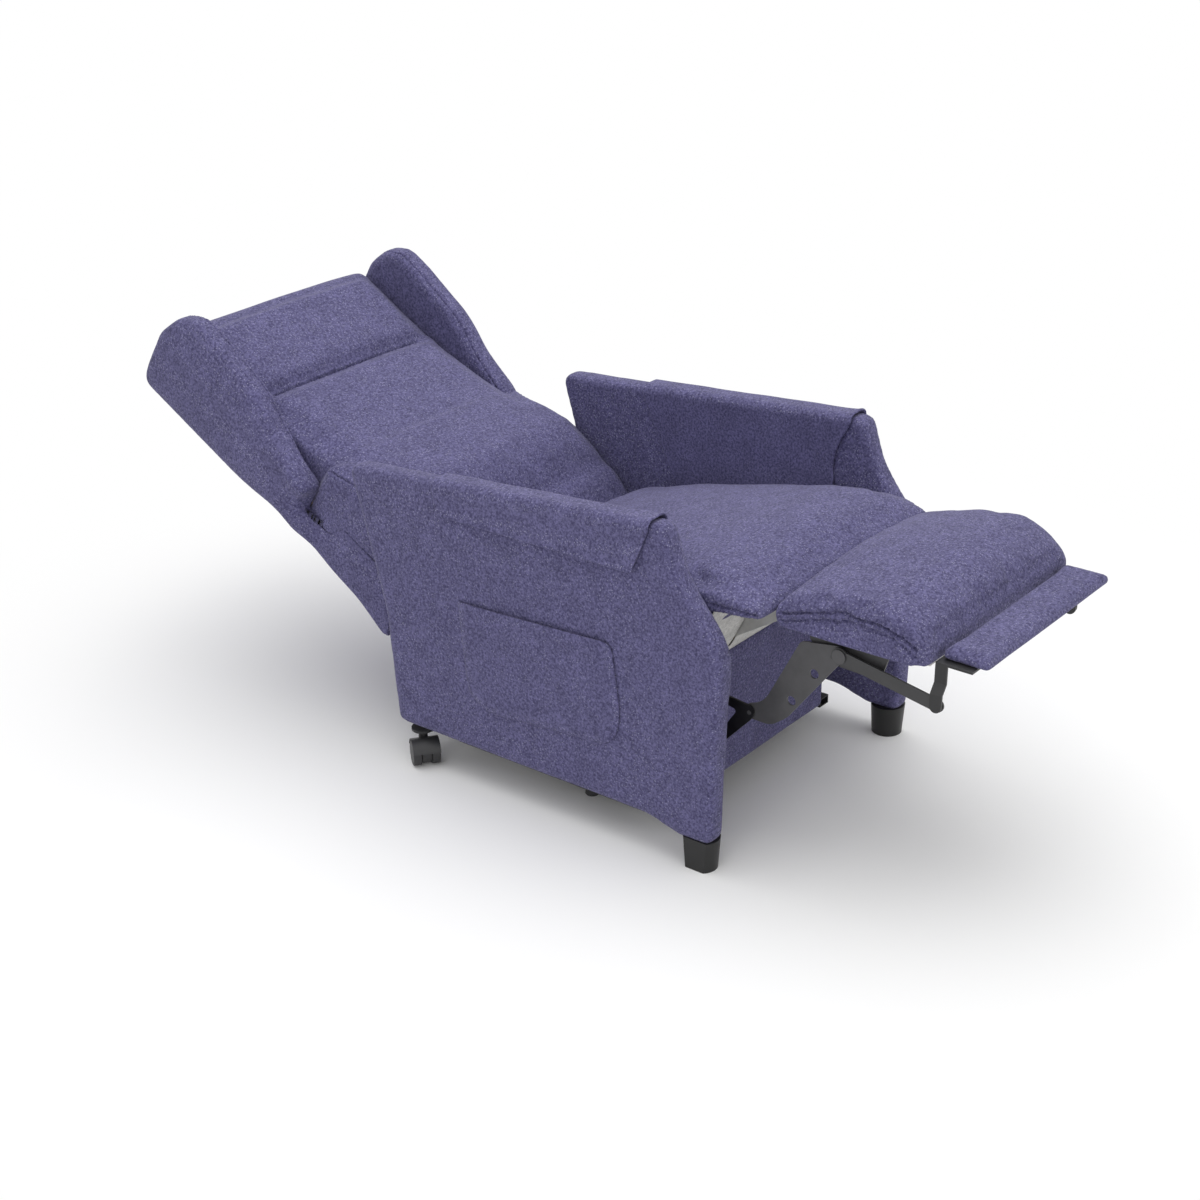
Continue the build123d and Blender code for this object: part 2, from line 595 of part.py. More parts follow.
def leg_strut():
    """Wide plate with two holes, a crank pin at its head and the lower link's pin at its foot."""
    ty, tz = STRUT_T
    qy, qz = STRUT_Q
    face = outline((-231, 452, 10), (-212, 464, 12), (-136, 452, 14), (-62, 308, 60), (qy + 14, qz + 12, 14),
                   (qy + 10, qz - 14, 14), (-80, 272, 40), (-112, 296, 60), (-213, 430, 20))
    face -= disc((-165, 398), 9) + disc((-121, 333), 9) + disc(STRUT_T, PIN + RUN)
    body = plate(face, STRUT)
    body += rod_x(FLAP_K, PIN, STRUT[1], LINKS[1] + 0.6)
    body += rod_x(FLAP_K, 13, LINKS[1] + 0.6, LINKS[1] + 2.6)
    return body + rod_x(STRUT_Q, PIN, STRUT[1], LINKS[1] + 1)


def lower_links():
    """Forked links from the struts' feet to the anchor pins, slotted where the pins run."""
    wide = 2 * (PIN + SLOT_SIDE + SLOT_FREE)
    slot = Pos(*SLOT_MID) * Rot(0, 0, SLOT_LEAN) * SlotCenterToCenter(SLOT_RUN, wide)
    qy, qz = STRUT_Q
    face = outline((qy - 13, qz + 12, 12), (10, 306, 30), (70, 294, 16), (92, 242, 16), (66, 212, 16),
                   (14, 212, 20), (qy - 4, qz - 13, 12))
    gap = outline((-14, 284, 6), (20, 290, 8), (46, 270, 8), (52, 232, 8), (22, 230, 8))
    face -= gap + slot + disc(STRUT_Q, PIN + RUN)
    return both(plate(face, LINKS))


def flap_links():
    """Long links from the struts' crank pins to the flap straps, with open rear eyes."""
    eye = PIN + FLAP_STRAY + FREE
    face = bar(FLAP_E, FLAP_K, 24) + disc(FLAP_K, eye + 4.5)
    face -= disc(FLAP_K, eye) + disc(FLAP_E, PIN + RUN)
    return both(plate(face, LINKS))


# Back

def back_side():
    """Wooden side member of the back."""
    face = outline((44, -70, 0), (44, FRAME_N[1], 0), (700, FRAME_N[1], 0), (700, FRAME_N[0], 0),
                   (276, FRAME_N[0], 0), (240, -70, 0))
    return back_plate(face, *BACK_SIDE)


def back_rail(s0, s1):
    """Wooden cross rail of the back."""
    n0, n1 = FRAME_N
    return back_plate(outline((s0, n0, 0), (s0, n1, 0), (s1, n1, 0), (s1, n0, 0)), -BACK_SIDE[0], BACK_SIDE[0])


def back_hinge():
    """Steel plate on the side member with the pivot eye and a lobe for the drive tube."""
    s, n = DRIVE_TUBE
    face = outline((-21, 20, 18), (21, 20, 18), (60, FRAME_N[1] - 2, 10), (190, FRAME_N[1] - 2, 10), (190, -50, 10),
                   (60, -66, 20), (s + 20, n - 18, 16), (s - 20, n - 18, 16), (-21, -30, 30))
    face -= disc((0, 0), STUD + RUN)
    return back_plate(face, *BACK_HINGE)


def back_drive_tube():
    """Cross tube between the hinge plates with the fork and pin that the back rod pushes."""
    a = radians(BACK_SLOPE)
    s, n = DRIVE_TUBE
    mid = (BACK_P[0] + s * cos(a) - n * sin(a), BACK_P[1] + s * sin(a) + n * cos(a))
    tube = tube_x(mid, BACK_HINGE[0])
    lug = bar(mid, BACK_HEAD, 22) - disc(mid, TUBE_R - WALL)
    fork = plate(lug, (12, 17)) + plate(lug, (-17, -12))
    return tube + fork + rod_x(BACK_HEAD, BOLT, -19, 19)


def back_cushion():
    """Back cushion: a full lumbar part rolled under at its foot, a waist, a pull-in seam and a head part."""
    low = [
        (-70, 76, 82, 1, 3), (-56, 56, 92, 2, 12), (-26, 26, 103, 4, 20), (0, 26, 107, 5, 22), (28, 26, 106, 6, 24),
        (80, -12, 130, 8, 28), (133, -12, 134, 10, 30), (200, -12, 116, 12, 30), (280, -12, 90, 12, 28)]
    high = [
        (280, -12, 88, 8, 28), (343, -12, 73, 9, 26), (420, -12, 60, 9, 26), (470, -12, 50, 7, 24),
        (492, -12, 48, 6, 22), (500, -12, 43, 4, 18), (506, -12, 40, 3, 16), (513, -12, 42, 4, 18),
        (524, -12, 45, 6, 20), (572, -12, 47, 9, 26), (655, -12, 48, 9, 26), (690, -12, 42, 7, 24),
        (706, -12, 26, 4, 16), (BACK_TOP, -12, 12, 2, 9)]
    forms = []
    for stations, half in ((low, BACK_HALF), (high, HEAD_HALF)):
        parts = [back_plane(s) * pillow(half, n0, edge, crown, roll) for s, n0, edge, crown, roll in stations]
        forms.append(loft(parts, ruled=True))
    body = forms[0] + forms[1]
    slit = outline((-90, -30, 0), (-90, 72, 0), (-44, 54, 0), (0, 42, 0), (24, 36, 0), (24, -30, 0))
    slit = back_plate(slit, SIDE_PLATE[0] - 2, SIDE_PLATE[1] + 2)
    return body - slit - other(slit)


def wing():
    """Padded wing beside the head; its outer half runs on down as the side of the back, behind the arm."""
    head = ((BACK_TOP, -58, 20), (BACK_TOP, 62, 30), (690, 124, 30), (655, 148, 24), (600, 146, 60),
            (440, 121, 80), (370, 92, 60), (320, 70, 40), (284, 36, 14))
    foot = ((304, SKIRT_N, 16), (40, SKIRT_N, 8), (28, -40, 14), (5.5, -132, 6), (47, -122, 60),
            (104, -108, 60), (180, -99, 60), (288, -84, 60), (330, -58, 60))
    inner = back_plate(outline(*head, (288, -58, 12)), WING[0], BACK_HALF + 1)
    inner = fillet(inner.edges().filter_by(lambda e: abs(e.center().X - WING[0]) < 0.01), 11)
    outer = back_plate(outline(*head, *foot), BACK_HALF + SKIRT_GAP, WING[1])
    outer = fillet(outer.edges().filter_by(lambda e: abs(e.center().X - WING[1]) < 0.01), 11)
    return inner + outer - back_side()


def rear_cover():
    """Upholstered rear shell: a swept lower part with side walls, a flat upper panel and a top return."""
    t = COVER_N
    lower = outline((5.5, -132, 0), (47, -122, 120), (104, -108, 120), (180, -99, 200), (284, -85, 0),
                    (284, t - 85, 0), (180, t - 99, 200), (104, t - 108, 120), (47, t - 122, 120), (6.5, t - 132, 0))
    body = back_plate(lower, -BACK_HALF, BACK_HALF)
    wall = outline((5.5, -130, 0), (47, -120, 60), (104, -106, 60), (180, -97, 60), (284, -83, 0), (284, -12, 0),
                   (44, -12, 0), (30, -30, 20))
    body += back_plate(wall, BACK_SIDE[1], BACK_HALF) + back_plate(wall, -BACK_HALF, -BACK_SIDE[1])
    step = outline((278, -85, 0), (278, FRAME_N[0] - t, 0), (278, FRAME_N[0], 0), (284, FRAME_N[0], 0), (284, -85, 0))
    body += back_plate(step, -BACK_HALF, BACK_HALF)
    upper = outline((280, FRAME_N[0] - t, 0), (280, FRAME_N[0], 0), (BACK_TOP - t, FRAME_N[0], 0),
                    (BACK_TOP - t, FRAME_N[1], 0), (BACK_TOP, FRAME_N[1], 0), (BACK_TOP, FRAME_N[0] - t, 10))
    return body + back_plate(upper, -WING[0], WING[0])


def make():
    """Every node by name."""
    panel = arm()
    saddle = arm_cover(panel)
    nodes = {
        "base_rail_left": base_rail(), "base_front_tube": base_front_tube(), "base_rear_tube": base_rear_tube(),
        "base_glides": base_glides(), "castor_hood_left": castor_hood(), "castor_wheels_left": castor_wheels(),
        "lift_arm_left": lift_arm(), "lift_torque_tube": lift_torque_tube(), "lift_links": lift_links(),
        "lift_motor": motor(LIFT_TAIL, LIFT_HEAD, 240, -1), "lift_rod": motor_rod(LIFT_TAIL, LIFT_HEAD, LIFT_STRAY),
        "side_plate_left": side_plate(), "seat_side_rails": seat_side_rails(), "seat_front_rail": seat_front_rail(),
        "seat_rear_rail": seat_rear_rail(), "motor_tube": motor_tube(), "seat_springs": seat_springs(),
        "seat_cushion": seat_cushion(), "seat_lining": seat_lining(), "arm_left": panel, "arm_cover_left": saddle,
        "side_pocket": side_pocket(), "front_panel": front_panel(), "front_feet": front_feet(),
        "legrest_hinge_arms": legrest_hinge_arms(), "link_anchors": link_anchors(),
        "back_motor": motor(BACK_TAIL, BACK_HEAD, 255, -1), "back_rod": motor_rod(BACK_TAIL, BACK_HEAD, BACK_STRAY),
        "back_side_left": back_side(), "back_top_rail": back_rail(640, 700), "back_mid_rail": back_rail(284, 330),
        "back_drive_tube": back_drive_tube(), "back_hinge_left": back_hinge(), "back_cushion": back_cushion(),
        "wing_left": wing(), "rear_cover": rear_cover(), "legrest_board": legrest_board(),
        "legrest_pad": legrest_pad(), "legrest_hinges": legrest_hinges(),
        "legrest_bracket_left": legrest_bracket(), "flap_pad": flap_pad(), "flap_hinges": flap_hinges(),
        "flap_arms": flap_arms(), "leg_strut_left": leg_strut(), "lower_links": lower_links(),
        "flap_links": flap_links()}
    for name in [n for n in nodes if n.endswith("_left")]:
        nodes[name.replace("_left", "_right")] = other(nodes[name])
    return nodes


def middle(nodes):
    """Length along the chair of the middle of everything."""
    ends = [shape.bounding_box() for shape in nodes.values()]
    return (min(e.min.Y for e in ends) + max(e.max.Y for e in ends)) / 2


if __name__ == "__main__":
    os.makedirs("parts", exist_ok=True)
    pieces = make()
    shift = middle(pieces)
    for node, shape in pieces.items():
        export_step(Pos(0, -shift, 0) * shape, f"parts/{node}.step")
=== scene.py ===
"""Looks of a lift recliner around its CAD frame: felt, lining, steel, timber and plastics."""
import math

import bmesh
import bpy
import numpy as np
from mathutils import Matrix, Vector, noise


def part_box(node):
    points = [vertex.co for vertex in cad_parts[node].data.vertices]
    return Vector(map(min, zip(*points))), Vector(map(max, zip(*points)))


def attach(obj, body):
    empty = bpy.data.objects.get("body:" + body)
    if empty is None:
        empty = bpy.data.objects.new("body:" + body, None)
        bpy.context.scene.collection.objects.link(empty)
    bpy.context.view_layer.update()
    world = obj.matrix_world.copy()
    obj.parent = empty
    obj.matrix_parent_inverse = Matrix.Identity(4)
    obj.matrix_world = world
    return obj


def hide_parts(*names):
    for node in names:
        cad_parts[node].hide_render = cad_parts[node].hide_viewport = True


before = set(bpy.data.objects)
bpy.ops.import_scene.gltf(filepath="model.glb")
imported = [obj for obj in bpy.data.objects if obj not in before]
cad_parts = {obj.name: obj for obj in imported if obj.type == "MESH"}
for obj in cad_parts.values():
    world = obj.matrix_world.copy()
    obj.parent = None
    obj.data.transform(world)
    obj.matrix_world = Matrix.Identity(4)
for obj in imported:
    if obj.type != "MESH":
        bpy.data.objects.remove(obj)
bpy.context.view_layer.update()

# -------------------------------------------------------------------------------------------------
# Studio. A white floor and backdrop under one broad soft light with two weak fills, seen from
# the photo's place: above the chair's right front corner with a long lens.
scene = bpy.context.scene
scene.view_settings.view_transform = "Standard"
low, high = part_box("front_feet")
FEET_Y = (low.y + high.y) / 2


def spot(x, y, z):
    """A place drawn in millimetres from the front feet, in the frame's metres."""
    return Vector((x / 1000, y / 1000 + FEET_Y, z / 1000))


def wire(tree, *links):
    """Joins sockets of a node tree, given as (from node, socket, to node, socket)."""
    for a, out, b, into in links:
        tree.links.new(a.outputs[out], b.inputs[into])


def add(tree, kind, **values):
    """A shader node with its plain values set; keys of inputs start with in_ and a number."""
    node = tree.nodes.new(kind)
    for key, value in values.items():
        if key.startswith("in_"):
            node.inputs[int(key[3:])].default_value = value
        else:
            setattr(node, key, value)
    return node


def seen_rays(tree):
    """1 on rays from the camera, also mirrored or let through, 0 on light falling on things."""
    path = add(tree, "ShaderNodeLightPath")
    first = add(tree, "ShaderNodeMath", operation="MAXIMUM")
    both = add(tree, "ShaderNodeMath", operation="MAXIMUM")
    wire(tree, (path, "Is Camera Ray", first, 0), (path, "Is Glossy Ray", first, 1))
    wire(tree, (first, 0, both, 0), (path, "Is Transmission Ray", both, 1))
    return both


world = bpy.data.worlds.new("studio")
scene.world = world
world.use_nodes = True
tree = world.node_tree
tree.nodes.clear()
sky = add(tree, "ShaderNodeBackground", in_0=(1, 1, 1, 1), in_1=0.57)
white = add(tree, "ShaderNodeBackground", in_0=(1, 1, 1, 1), in_1=1.0)
mix = add(tree, "ShaderNodeMixShader")
wire(tree, (seen_rays(tree), 0, mix, 0), (sky, 0, mix, 1), (white, 0, mix, 2))
wire(tree, (mix, 0, add(tree, "ShaderNodeOutputWorld"), 0))

floor_paint = bpy.data.materials.new("studio_floor")
floor_paint.use_nodes = True
tree = floor_paint.node_tree
tree.nodes.clear()
place = add(tree, "ShaderNodeTexCoord")
ring = add(tree, "ShaderNodeVectorMath", operation="LENGTH")
fade = add(tree, "ShaderNodeMapRange", interpolation_type="SMOOTHSTEP", in_1=1.0, in_2=1.75)
paint = add(tree, "ShaderNodeBsdfDiffuse", in_0=(0.94, 0.94, 0.94, 1))
glow = add(tree, "ShaderNodeEmission", in_0=(1, 1, 1, 1), in_1=1.0)
share = add(tree, "ShaderNodeMath", operation="MULTIPLY")
mix = add(tree, "ShaderNodeMixShader")
wire(tree, (place, "Object", ring, 0), (ring, "Value", fade, 0), (fade, 0, share, 0))
wire(tree, (seen_rays(tree), 0, share, 1))
wire(tree, (share, 0, mix, 0), (paint, 0, mix, 1), (glow, 0, mix, 2))
wire(tree, (mix, 0, add(tree, "ShaderNodeOutputMaterial"), 0))
FLOOR_HALF = 9
bm = bmesh.new()
bmesh.ops.create_grid(bm, x_segments=2, y_segments=2, size=FLOOR_HALF)
mesh = bpy.data.meshes.new("studio_floor")
bm.to_mesh(mesh)
bm.free()
mesh.materials.append(floor_paint)
floor = bpy.data.objects.new("studio_floor", mesh)
scene.collection.objects.link(floor)

LAMPS = (
    ("softbox", (0.2, 0.4, 3.4), 4.5, 95),
    ("front_fill", (0.6, -3.2, 2.4), 2.4, 20),
    ("side_fill", (-3.2, -1.4, 2.2), 2.0, 18))
LIT_PLACE = Vector((0, 0, 0.35))
for name, at, size, power in LAMPS:
    lamp = bpy.data.lights.new(name, "AREA")
    lamp.shape = "SQUARE"
    lamp.size = size
    lamp.energy = power
    box = bpy.data.objects.new(name, lamp)
    box.location = at
    box.rotation_euler = (LIT_PLACE - Vector(at)).to_track_quat("-Z", "Y").to_euler()
    scene.collection.objects.link(box)

# The camera's place, turn and lens were fitted to the photo's corners and straight edges.
stand = spot(-3018, -1885, 2048)
swing, rise, roll = math.radians(-52.25), math.radians(27.91), math.radians(-0.46)
back = Vector((math.sin(swing) * math.cos(rise), -math.cos(swing) * math.cos(rise), math.sin(rise)))
right = Vector((math.cos(swing), math.sin(swing), 0))
up = back.cross(right)
lens = bpy.data.cameras.new("camera")
lens.lens = 64.47
lens.sensor_width = 36
lens.shift_x = -0.0088
lens.shift_y = 0.0957
camera = bpy.data.objects.new("camera", lens)
across = math.cos(roll) * right + math.sin(roll) * up
above = math.cos(roll) * up - math.sin(roll) * right
turn = Matrix((across, above, back))
camera.matrix_world = Matrix.Translation(stand) @ turn.transposed().to_4x4()
scene.collection.objects.link(camera)
scene.camera = camera

# -------------------------------------------------------------------------------------------------
# Steelwork. Base, lift arms, side plates and linkage are cut and folded from plate and tube, powder
# coated dark, and riveted or pinned together; the leg-rest's struts are a paler satin grey and its
# hinges zinc.


def principled(name, colour, rough, metal=0.0, **sockets):
    """A material with one shader whose constants are set on its own sockets."""
    paint = bpy.data.materials.new(name)
    paint.use_nodes = True
    shader = paint.node_tree.nodes["Principled BSDF"]
    shader.inputs["Base Color"].default_value = (*colour, 1)
    shader.inputs["Roughness"].default_value = rough
    shader.inputs["Metallic"].default_value = metal
    for key, value in sockets.items():
        shader.inputs[key.replace("_", " ")].default_value = value
    return paint, paint.node_tree, shader


worn = bpy.data.node_groups.new("worn_surface", "ShaderNodeTree")
for way, names in (("INPUT", ("Colour", "Rough", "Fine")), ("OUTPUT", ("Colour", "Rough", "Height"))):
    for name in names:
        kind = "NodeSocketColor" if name == "Colour" else "NodeSocketFloat"
        worn.interface.new_socket(name, in_out=way, socket_type=kind)
given = add(worn, "NodeGroupInput")
gives = add(worn, "NodeGroupOutput")
place = add(worn, "ShaderNodeTexCoord")
cloud = add(worn, "ShaderNodeTexNoise", in_2=22.0, in_3=4.0, in_4=0.6)
grain = add(worn, "ShaderNodeTexNoise", in_3=2.0, in_4=0.5)
tone = add(worn, "ShaderNodeMapRange", in_1=0.3, in_2=0.7, in_3=0.82, in_4=1.18)
shine = add(worn, "ShaderNodeMapRange", in_1=0.3, in_2=0.7, in_3=-0.07, in_4=0.09)
tint = add(worn, "ShaderNodeVectorMath", operation="SCALE")
rough = add(worn, "ShaderNodeMath", operation="ADD", use_clamp=True)
wire(worn, (place, "Object", cloud, 0), (place, "Object", grain, 0), (given, "Fine", grain, 2))
wire(worn, (cloud, 0, tone, 0), (given, "Colour", tint, 0), (tone, 0, tint, "Scale"))
wire(worn, (cloud, 0, shine, 0), (given, "Rough", rough, 0), (shine, 0, rough, 1))
wire(worn, (tint, 0, gives, "Colour"), (rough, 0, gives, "Rough"), (grain, 0, gives, "Height"))


def coated(name, colour, rough, metal=0.0, fine=900.0, bump=0.02, **sockets):
    """A coated, cast or rolled surface with slight cloudiness and a fine grain."""
    paint, tree, shader = principled(name, colour, rough, metal, **sockets)
    group = add(tree, "ShaderNodeGroup", node_tree=worn)
    group.inputs["Colour"].default_value = (*colour, 1)
    group.inputs["Rough"].default_value = rough
    group.inputs["Fine"].default_value = fine
    relief = add(tree, "ShaderNodeBump", in_0=bump, in_1=0.001)
    wire(tree, (group, "Colour", shader, "Base Color"), (group, "Rough", shader, "Roughness"))
    wire(tree, (group, "Height", relief, "Height"), (relief, 0, shader, "Normal"))
    return paint


def dress(paint, *names):
    """Gives CAD nodes their finish."""
    for name in names:
        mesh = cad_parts[name].data
        if mesh.materials:
            mesh.materials[0] = paint
        else:
            mesh.materials.append(paint)


dress(coated("base_coat", (0.022, 0.022, 0.024), 0.5, 0.2),
      "base_rail_right", "base_rail_left", "base_front_tube", "base_rear_tube", "lift_arm_right",
      "lift_arm_left", "lift_torque_tube", "lift_links", "side_plate_right", "side_plate_left",
      "motor_tube", "back_hinge_right", "back_hinge_left", "back_drive_tube", "link_anchors",
      "flap_hinges")
dress(coated("zinc_plate", (0.62, 0.62, 0.60), 0.42, 0.45, 500.0, 0.01),
      "legrest_hinge_arms", "legrest_hinges")
dress(coated("strut_coat", (0.075, 0.074, 0.078), 0.44, 0.3), "leg_strut_right", "leg_strut_left")
dress(coated("bracket_coat", (0.05, 0.05, 0.052), 0.46, 0.3),
      "legrest_bracket_right", "legrest_bracket_left", "flap_links")
dress(coated("strap_coat", (0.03, 0.03, 0.031), 0.42, 0.3), "flap_arms")
dress(coated("link_coat", (0.01, 0.01, 0.011), 0.4, 0.2), "lower_links")
dress(coated("spring_wire", (0.05, 0.048, 0.046), 0.38, 0.8), "seat_springs")
dress(coated("rod_plating", (0.55, 0.55, 0.56), 0.2, 1.0, 300.0, 0.005), "lift_rod", "back_rod")

# -------------------------------------------------------------------------------------------------
# Plastics. Motors are in moulded black housings, the feet are moulded black tapers, and the castors
# and glides are dark grey nylon.
dress(coated("motor_case", (0.014, 0.014, 0.015), 0.48, 0.0, 1400.0, 0.08),
      "lift_motor", "back_motor")
dress(coated("foot_plastic", (0.009, 0.009, 0.009), 0.42, 0.0, 900.0, 0.04), "front_feet")
dress(coated("castor_plastic", (0.03, 0.03, 0.032), 0.45, 0.0, 900.0, 0.04),
      "castor_hood_right", "castor_hood_left", "castor_wheels_right", "castor_wheels_left",
      "base_glides")

# -------------------------------------------------------------------------------------------------
# Timber. Seat rails and the back's frame are planed softwood, screwed and stapled, and hidden under
# the upholstery.
timber, tree, shader = principled("softwood", (0.45, 0.29, 0.15), 0.62)
place = add(tree, "ShaderNodeTexCoord")
lie = add(tree, "ShaderNodeMapping")
lie.inputs["Scale"].default_value = (90, 6, 90)
rings = add(tree, "ShaderNodeTexNoise", in_2=1.0, in_3=5.0, in_4=0.55)
ramp = add(tree, "ShaderNodeValToRGB")
ramp.color_ramp.elements[0].position = 0.32
ramp.color_ramp.elements[0].color = (0.30, 0.17, 0.08, 1)
ramp.color_ramp.elements[1].position = 0.68
ramp.color_ramp.elements[1].color = (0.56, 0.38, 0.21, 1)
wire(tree, (place, "Object", lie, 0), (lie, 0, rings, 0), (rings, 0, ramp, 0))
wire(tree, (ramp, 0, shader, "Base Color"))
dress(timber, "seat_side_rails", "seat_front_rail", "seat_rear_rail", "back_side_right",
      "back_side_left", "back_top_rail", "back_mid_rail")

# -------------------------------------------------------------------------------------------------
# Arms. A thin timber box wrapped in wadding and a heathered slate-violet felt, pulled tight over
# rounded edges and stapled out of sight; the front runs down into a dipped foot.
heather = bpy.data.node_groups.new("heather", "ShaderNodeTree")
for name in ("Shade", "Body", "Fleck"):
    heather.interface.new_socket(name, in_out="INPUT", socket_type="NodeSocketColor")
heather.interface.new_socket("Colour", in_out="OUTPUT", socket_type="NodeSocketColor")
heather.interface.new_socket("Height", in_out="OUTPUT", socket_type="NodeSocketFloat")
given = add(heather, "NodeGroupInput")
gives = add(heather, "NodeGroupOutput")
place = add(heather, "ShaderNodeTexCoord")
fibre = add(heather, "ShaderNodeTexNoise", in_2=210.0, in_3=3.0, in_4=0.7)
fuzz = add(heather, "ShaderNodeTexNoise", in_2=900.0, in_3=2.0, in_4=0.6)
cloud = add(heather, "ShaderNodeTexNoise", in_2=26.0, in_3=3.0, in_4=0.6)
knots = add(heather, "ShaderNodeTexVoronoi", in_2=270.0)
deep = add(heather, "ShaderNodeMapRange", in_1=0.36, in_2=0.62)
spots = add(heather, "ShaderNodeMapRange", in_1=0.42, in_2=0.08)
pick = add(heather, "ShaderNodeSeparateColor")
few = add(heather, "ShaderNodeMapRange", in_1=0.45, in_2=0.85, in_4=0.8)
both = add(heather, "ShaderNodeMath", operation="MULTIPLY")
yarn = add(heather, "ShaderNodeMix", data_type="RGBA")
speck = add(heather, "ShaderNodeMix", data_type="RGBA")
tone = add(heather, "ShaderNodeMapRange", in_1=0.3, in_2=0.7, in_3=0.88, in_4=1.12)
final = add(heather, "ShaderNodeVectorMath", operation="SCALE")
lift = add(heather, "ShaderNodeMath", operation="MULTIPLY_ADD", in_1=0.5)
for texture in (fibre, fuzz, cloud, knots):
    wire(heather, (place, "Object", texture, 0))
wire(heather, (fibre, 0, deep, 0), (deep, 0, yarn, 0))
wire(heather, (given, "Shade", yarn, 6), (given, "Body", yarn, 7))
wire(heather, (knots, "Distance", spots, 0), (knots, "Color", pick, 0), (pick, 0, few, 0))
wire(heather, (spots, 0, both, 0), (few, 0, both, 1), (both, 0, speck, 0), (yarn, 2, speck, 6))
wire(heather, (given, "Fleck", speck, 7), (cloud, 0, tone, 0))
wire(heather, (speck, 2, final, 0), (tone, 0, final, "Scale"), (final, 0, gives, "Colour"))
wire(heather, (fuzz, 0, lift, 0), (fibre, 0, lift, 2), (lift, 0, gives, "Height"))


def cloth_paint(name, shade, body, fleck, bump, sheen):
    """A matt woven or felted cloth with heathered yarn."""
    paint, tree, shader = principled(name, body, 0.95, 0.0, Sheen_Weight=sheen, Sheen_Roughness=0.5)
    shader.inputs["Specular IOR Level"].default_value = 0.15
    group = add(tree, "ShaderNodeGroup", node_tree=heather)
    for key, colour in (("Shade", shade), ("Body", body), ("Fleck", fleck)):
        group.inputs[key].default_value = (*colour, 1)
    relief = add(tree, "ShaderNodeBump", in_0=bump, in_1=0.0012)
    wire(tree, (group, "Colour", shader, "Base Color"), (group, "Height", relief, "Height"))
    wire(tree, (relief, 0, shader, "Normal"))
    return paint


felt = cloth_paint("felt", (0.052, 0.048, 0.114), (0.139, 0.131, 0.262), (0.36, 0.355, 0.50),
                   0.5, 0.1)


def places(mesh):
    """A mesh's vertices as rows of x, y, z."""
    co = np.empty(len(mesh.vertices) * 3)
    mesh.vertices.foreach_get("co", co)
    return co.reshape(-1, 3)


def outward(mesh):
    """A mesh's vertex normals as rows."""
    way = np.empty(len(mesh.vertices) * 3, dtype=np.float32)
    mesh.vertex_normals.foreach_get("vector", way)
    return way.reshape(-1, 3).astype(float)


def put(mesh, co):
    """Moves a mesh's vertices to rows of x, y, z."""
    mesh.vertices.foreach_set("co", co.ravel())
    mesh.update()


def bake(obj):
    """Puts an object's modifiers into its mesh."""
    shaped = obj.evaluated_get(bpy.context.evaluated_depsgraph_get())
    mesh = bpy.data.meshes.new_from_object(shaped)
    obj.modifiers.clear()
    obj.data = mesh


def show(name, bm, paint):
    """A new object at the origin from a bmesh."""
    mesh = bpy.data.meshes.new(name)
    bm.to_mesh(mesh)
    bm.free()
    mesh.shade_smooth()
    mesh.materials.append(paint)
    obj = bpy.data.objects.new(name, mesh)
    scene.collection.objects.link(obj)
    return obj


def soften(obj, rounds):
    """Rounds off the edges of a skin."""
    bm = bmesh.new()
    bm.from_mesh(obj.data)
    for i in range(rounds):
        bmesh.ops.smooth_vert(bm, verts=bm.verts, factor=0.5,
                              use_axis_x=True, use_axis_y=True, use_axis_z=True)
    bm.to_mesh(obj.data)
    bm.free()


SAME_PLACE = 0.00002


def stuffed(name, node, paint, voxel, softened):
    """The closed skin of a padded piece, made even over its CAD solid, with its edges softened."""
    bm = bmesh.new()
    bm.from_mesh(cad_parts[node].data)
    bmesh.ops.remove_doubles(bm, verts=bm.verts, dist=SAME_PLACE)
    obj = show(name, bm, paint)
    skin = obj.modifiers.new("skin", "REMESH")
    skin.mode = "VOXEL"
    skin.voxel_size = voxel
    bake(obj)
    soften(obj, softened)
    obj.data.shade_smooth()
    return obj


def ripple(obj, size, depth, seed):
    """Slow unevenness of a padded surface."""
    co, way = places(obj.data), outward(obj.data)
    lift = np.array([noise.noise(Vector(p) / size + Vector((seed, seed, seed))) for p in co])
    put(obj.data, co + way * (lift * depth)[:, None])


def fitted(obj, body, slot, fill, *nodes):
    """Hangs a padded piece on its body and hides the CAD nodes it stands for."""
    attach(obj, body)
    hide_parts(*nodes)


def ramp01(value, start, end):
    """0 before start, 1 after end, smooth between."""
    t = min(1.0, max(0.0, (value - start) / (end - start)))
    return t * t * (3 - 2 * t)


def eased(obj, move):
    """Pulls a padded skin about: move takes and gives millimetres from the feet."""
    co = places(obj.data)
    for i, (x, y, z) in enumerate(co):
        co[i] = spot(*move(x * 1000, (y - FEET_Y) * 1000, z * 1000))
    put(obj.data, co)


def full_arm(x, y, z):
    """An arm's padding: fuller at the front's swell and the rear edge, drawn down round the foot."""
    front = 1 - ramp01(y, -10, 95)
    swollen = 20 * ramp01(z, 330, 425) * (1 - ramp01(z, 450, 565)) - 6 * ramp01(z, 560, 630)
    y += 8 * ramp01(y, 640, 780) - front * swollen
    return x, y, z - 5 * (1 - ramp01(y, 40, 110)) * (1 - ramp01(z, 66, 110))


for side in ("right", "left"):
    arm = stuffed(f"arm_{side}_felt", f"arm_{side}", felt, 0.0065, 4)
    eased(arm, full_arm)
    ripple(arm, 0.16, 0.0008, 3.0)
    fitted(arm, "chassis", "felt", 0.9, f"arm_{side}")

